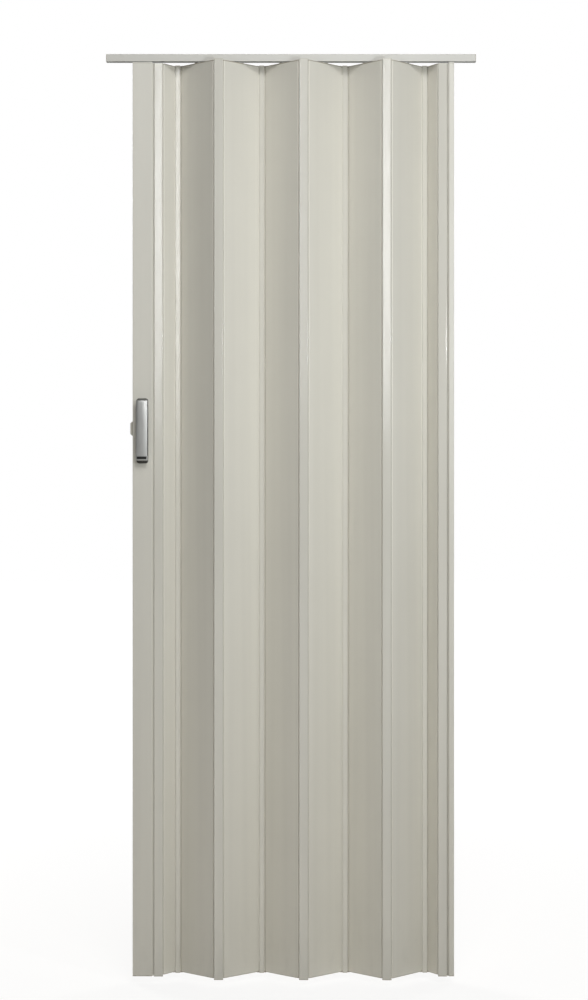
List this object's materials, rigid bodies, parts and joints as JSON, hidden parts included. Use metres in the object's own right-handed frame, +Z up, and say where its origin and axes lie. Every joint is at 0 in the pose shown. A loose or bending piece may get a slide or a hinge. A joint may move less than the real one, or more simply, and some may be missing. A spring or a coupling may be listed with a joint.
{
  "type": "folding door",
  "caption": "Top-hung accordion folding door: hollow vinyl panels joined by knuckle hinge strips, hung on gliders in a slim track, with a lead post, latch and pulls.",
  "frame": {"origin": "centre of the track's flat top face, which is fixed to the header", "axes": "+Z up, +X from the lead post to the jamb post, +Y from the front (pictured) face to the back"},
  "size_m": [0.8128, 0.0894, 2.0275],
  "materials": {
    "rigid_vinyl": "satin off-white",
    "satin_metal": "satin",
    "dark_plastic": "satin black",
    "nylon": "natural",
    "steel": "zinc plated"
  },
  "bodies": {
    "header_and_jamb": {"track": "rigid_vinyl", "jamb_post": "rigid_vinyl", "jamb_anchor": "nylon"},
    "jamb_hinge_strip": {"jamb_hinge_strip": "rigid_vinyl", "jamb_half_panel": "rigid_vinyl"},
    "back_hinge_strip_4": {"back_hinge_strip_4": "rigid_vinyl"},
    "panel_6": {"panel_6": "rigid_vinyl", "panel_hanger_6": "nylon", "hanger_pin_6": "steel"},
    "glider_6": {"glider_6": "nylon"},
    "front_hinge_strip_3": {"front_hinge_strip_3": "rigid_vinyl"},
    "panel_5": {"panel_5": "rigid_vinyl", "panel_hanger_5": "nylon", "hanger_pin_5": "steel"},
    "glider_5": {"glider_5": "nylon"},
    "back_hinge_strip_3": {"back_hinge_strip_3": "rigid_vinyl"},
    "panel_4": {"panel_4": "rigid_vinyl", "panel_hanger_4": "nylon", "hanger_pin_4": "steel"},
    "glider_4": {"glider_4": "nylon"},
    "front_hinge_strip_2": {"front_hinge_strip_2": "rigid_vinyl"},
    "panel_3": {"panel_3": "rigid_vinyl", "panel_hanger_3": "nylon", "hanger_pin_3": "steel"},
    "glider_3": {"glider_3": "nylon"},
    "back_hinge_strip_2": {"back_hinge_strip_2": "rigid_vinyl"},
    "panel_2": {"panel_2": "rigid_vinyl", "panel_hanger_2": "nylon", "hanger_pin_2": "steel"},
    "glider_2": {"glider_2": "nylon"},
    "front_hinge_strip_1": {"front_hinge_strip_1": "rigid_vinyl"},
    "panel_1": {"panel_1": "rigid_vinyl", "panel_hanger_1": "nylon", "hanger_pin_1": "steel"},
    "glider_1": {"glider_1": "nylon"},
    "back_hinge_strip_1": {"back_hinge_strip_1": "rigid_vinyl"},
    "lead_half_panel": {"lead_half_panel": "rigid_vinyl"},
    "lead_hinge_strip": {"lead_hinge_strip": "rigid_vinyl"},
    "lead_end": {"lead_post": "rigid_vinyl", "lead_hanger": "nylon", "lead_pin_left": "steel", "lead_pin_right": "steel", "lead_glider_left": "nylon", "lead_glider_right": "nylon", "latch_block": "nylon", "front_pull_base": "dark_plastic", "front_pull": "satin_metal", "front_pull_inset": "dark_plastic", "back_pull_base": "dark_plastic", "back_pull": "satin_metal", "back_pull_inset": "dark_plastic", "pull_screw_upper": "steel", "pull_screw_lower": "steel"},
    "latch": {"latch_bolt": "rigid_vinyl", "latch_thumb_front": "rigid_vinyl", "latch_thumb_back": "rigid_vinyl"}
  },
  "joints": [
    {"name": "jamb_strip_turn", "type": "hinge", "parent": "header_and_jamb", "child": "jamb_hinge_strip", "pos_m": [0.3398, 0, -1], "axis": [0, 0, 1], "range_deg": [-36.2, 6.33]},
    {"name": "back_hinge_strip_4_turn", "type": "hinge", "parent": "jamb_hinge_strip", "child": "back_hinge_strip_4", "pos_m": [0.30312, 0.03941, -1], "axis": [0, 0, 1], "range_deg": [-6.36, 36.22]},
    {"name": "panel_6_turn", "type": "hinge", "parent": "back_hinge_strip_4", "child": "panel_6", "pos_m": [0.29012, 0.03941, -1], "axis": [0, 0, 1], "range_deg": [-6.2, 35.32]},
    {"name": "glider_6_swivel", "type": "hinge", "parent": "panel_6", "child": "glider_6", "pos_m": [0.25298, 0, -0.0148], "axis": [0, 0, 1], "range_deg": [-35.32, 6.2]},
    {"name": "front_hinge_strip_3_turn", "type": "hinge", "parent": "panel_6", "child": "front_hinge_strip_3", "pos_m": [0.21585, -0.03941, -1], "axis": [0, 0, 1], "range_deg": [-29.57, 5.19]},
    {"name": "panel_5_turn", "type": "hinge", "parent": "front_hinge_strip_3", "child": "panel_5", "pos_m": [0.20291, -0.03811, -1], "axis": [0, 0, 1], "range_deg": [-43.04, 7.55]},
    {"name": "glider_5_swivel", "type": "hinge", "parent": "panel_5", "child": "glider_5", "pos_m": [0.16444, 0, -0.0148], "axis": [0, 0, 1], "range_deg": [-6.54, 37.29]},
    {"name": "back_hinge_strip_3_turn", "type": "hinge", "parent": "panel_5", "child": "back_hinge_strip_3", "pos_m": [0.12597, 0.03811, -1], "axis": [0, 0, 1], "range_deg": [-5.81, 33.11]},
    {"name": "panel_4_turn", "type": "hinge", "parent": "back_hinge_strip_3", "child": "panel_4", "pos_m": [0.113, 0.03716, -1], "axis": [0, 0, 1], "range_deg": [-7.52, 42.87]},
    {"name": "glider_4_swivel", "type": "hinge", "parent": "panel_4", "child": "glider_4", "pos_m": [0.07362, 0, -0.0148], "axis": [0, 0, 1], "range_deg": [-38.69, 6.79]},
    {"name": "front_hinge_strip_2_turn", "type": "hinge", "parent": "panel_4", "child": "front_hinge_strip_2", "pos_m": [0.03423, -0.03716, -1], "axis": [0, 0, 1], "range_deg": [-36.19, 6.35]},
    {"name": "panel_3_turn", "type": "hinge", "parent": "front_hinge_strip_2", "child": "panel_3", "pos_m": [0.02124, -0.03659, -1], "axis": [0, 0, 1], "range_deg": [-42.01, 7.37]},
    {"name": "glider_3_swivel", "type": "hinge", "parent": "panel_3", "child": "glider_3", "pos_m": [-0.01868, 0, -0.0148], "axis": [0, 0, 1], "range_deg": [-6.93, 39.51]},
    {"name": "back_hinge_strip_2_turn", "type": "hinge", "parent": "panel_3", "child": "back_hinge_strip_2", "pos_m": [-0.05859, 0.03659, -1], "axis": [0, 0, 1], "range_deg": [-6.8, 38.76]},
    {"name": "panel_2_turn", "type": "hinge", "parent": "back_hinge_strip_2", "child": "panel_2", "pos_m": [-0.07159, 0.03642, -1], "axis": [0, 0, 1], "range_deg": [-7.1, 40.5]},
    {"name": "glider_2_swivel", "type": "hinge", "parent": "panel_2", "child": "glider_2", "pos_m": [-0.11166, 0, -0.0148], "axis": [0, 0, 1], "range_deg": [-39.75, 6.97]},
    {"name": "front_hinge_strip_1_turn", "type": "hinge", "parent": "panel_2", "child": "front_hinge_strip_1", "pos_m": [-0.15173, -0.03642, -1], "axis": [0, 0, 1], "range_deg": [-40.77, 7.15]},
    {"name": "panel_1_turn", "type": "hinge", "parent": "front_hinge_strip_1", "child": "panel_1", "pos_m": [-0.16473, -0.03665, -1], "axis": [0, 0, 1], "range_deg": [-38.4, 6.74]},
    {"name": "glider_1_swivel", "type": "hinge", "parent": "panel_1", "child": "glider_1", "pos_m": [-0.20459, 0, -0.0148], "axis": [0, 0, 1], "range_deg": [-6.92, 39.42]},
    {"name": "back_hinge_strip_1_turn", "type": "hinge", "parent": "panel_1", "child": "back_hinge_strip_1", "pos_m": [-0.24445, 0.03665, -1], "axis": [0, 0, 1], "range_deg": [-6.92, 39.42]},
    {"name": "lead_half_panel_turn", "type": "hinge", "parent": "back_hinge_strip_1", "child": "lead_half_panel", "pos_m": [-0.25745, 0.03665, -1], "axis": [0, 0, 1], "range_deg": [-6.87, 39.15]},
    {"name": "lead_hinge_strip_turn", "type": "hinge", "parent": "lead_half_panel", "child": "lead_hinge_strip", "pos_m": [-0.2852, 0, -1], "axis": [0, 0, 1], "range_deg": [-3.15, 0.57]},
    {"name": "lead_post_turn", "type": "hinge", "parent": "lead_hinge_strip", "child": "lead_end", "pos_m": [-0.2982, 0, -1], "axis": [0, 0, 1], "range_deg": [-36.02, 6.32]},
    {"name": "latch_slide", "type": "slide", "parent": "lead_end", "child": "latch", "axis": [1, 0, 0], "range_m": [0, 0.0055]}
  ],
  "couplings": [
    {"joint": "back_hinge_strip_4_turn", "follows": "jamb_strip_turn", "ratio": -1},
    {"joint": "panel_6_turn", "follows": "jamb_strip_turn", "ratio": -0.97514},
    {"joint": "glider_6_swivel", "follows": "jamb_strip_turn", "ratio": 0.97514},
    {"joint": "front_hinge_strip_3_turn", "follows": "jamb_strip_turn", "ratio": 0.81644},
    {"joint": "panel_5_turn", "follows": "jamb_strip_turn", "ratio": 1.1883},
    {"joint": "glider_5_swivel", "follows": "jamb_strip_turn", "ratio": -1.0296},
    {"joint": "back_hinge_strip_3_turn", "follows": "jamb_strip_turn", "ratio": -0.91402},
    {"joint": "panel_4_turn", "follows": "jamb_strip_turn", "ratio": -1.1838},
    {"joint": "glider_4_swivel", "follows": "jamb_strip_turn", "ratio": 1.0682},
    {"joint": "front_hinge_strip_2_turn", "follows": "jamb_strip_turn", "ratio": 0.99906},
    {"joint": "panel_3_turn", "follows": "jamb_strip_turn", "ratio": 1.1599},
    {"joint": "glider_3_swivel", "follows": "jamb_strip_turn", "ratio": -1.0908},
    {"joint": "back_hinge_strip_2_turn", "follows": "jamb_strip_turn", "ratio": -1.0701},
    {"joint": "panel_2_turn", "follows": "jamb_strip_turn", "ratio": -1.1183},
    {"joint": "glider_2_swivel", "follows": "jamb_strip_turn", "ratio": 1.0976},
    {"joint": "front_hinge_strip_1_turn", "follows": "jamb_strip_turn", "ratio": 1.1258},
    {"joint": "panel_1_turn", "follows": "jamb_strip_turn", "ratio": 1.0602},
    {"joint": "glider_1_swivel", "follows": "jamb_strip_turn", "ratio": -1.0884},
    {"joint": "back_hinge_strip_1_turn", "follows": "jamb_strip_turn", "ratio": -1.0884},
    {"joint": "lead_half_panel_turn", "follows": "jamb_strip_turn", "ratio": -1.0811},
    {"joint": "lead_hinge_strip_turn", "follows": "jamb_strip_turn", "ratio": 0.086586},
    {"joint": "lead_post_turn", "follows": "jamb_strip_turn", "ratio": 0.99448}
  ]
}
